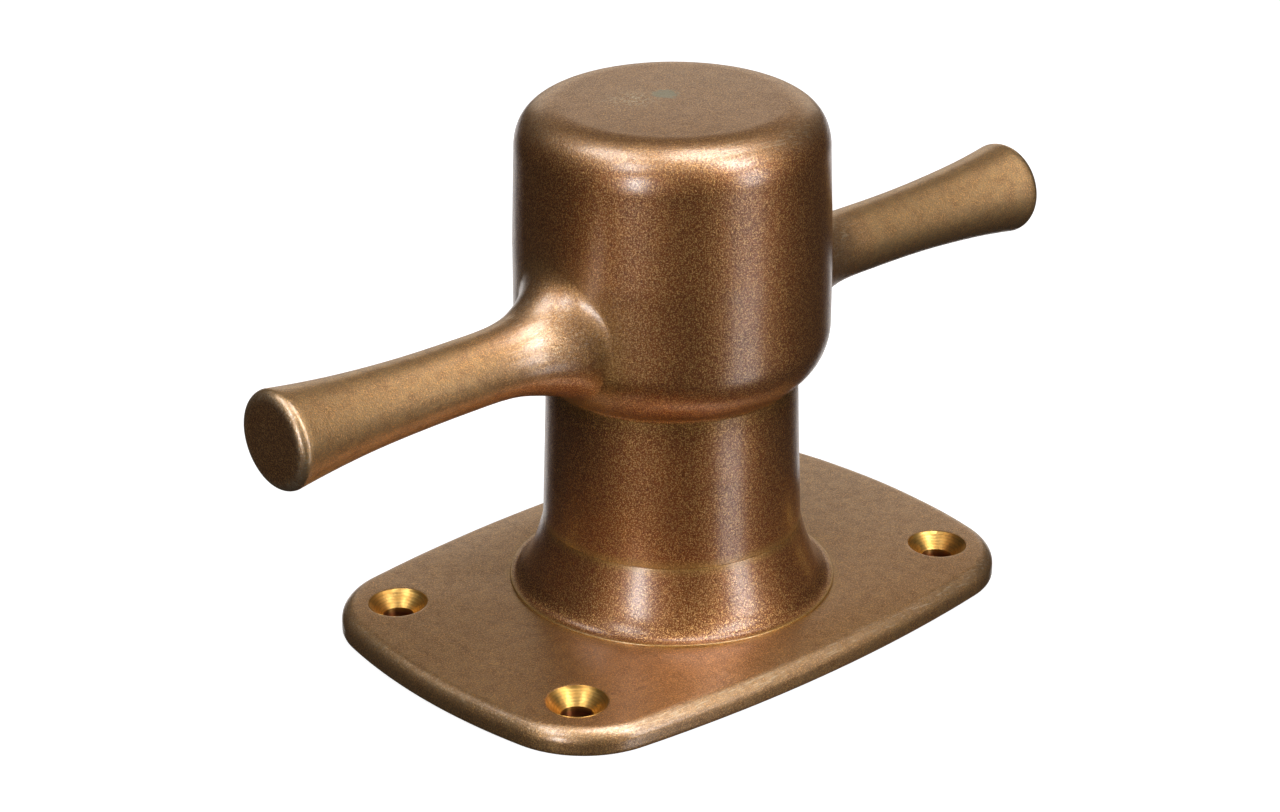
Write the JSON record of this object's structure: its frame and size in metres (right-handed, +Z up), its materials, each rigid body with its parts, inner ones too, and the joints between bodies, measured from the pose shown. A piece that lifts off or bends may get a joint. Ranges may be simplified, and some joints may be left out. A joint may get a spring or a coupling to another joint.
{
  "type": "cross bollard",
  "caption": "Bronze cross bollard for a boat's deck: a countersunk base plate carries a flared foot, a round post, a larger rounded head and horns on either side to belay mooring lines.",
  "frame": {"origin": "centre of the base plate's underside, on the post's axis, in the plane of the deck", "axes": "+Z up along the post, +X along the horn_starboard axis and the plate's long side, +Y across the plate"},
  "size_m": [0.1968, 0.0904, 0.1078],
  "materials": {
    "plate_bronze": "satin brown patina, tumbled, with bright machined countersinks",
    "post_bronze": "satin brown patina, tumbled",
    "head_bronze": "satin brown patina, tumbled, worn lighter along the top rim",
    "horn_bronze": "satin brown patina, tumbled, worn lighter round the tip"
  },
  "bodies": {
    "root": {"base_plate": "plate_bronze", "foot_collar": "post_bronze", "post": "post_bronze", "head": "head_bronze", "horn_port": "horn_bronze", "horn_starboard": "horn_bronze"}
  },
  "joints": []
}
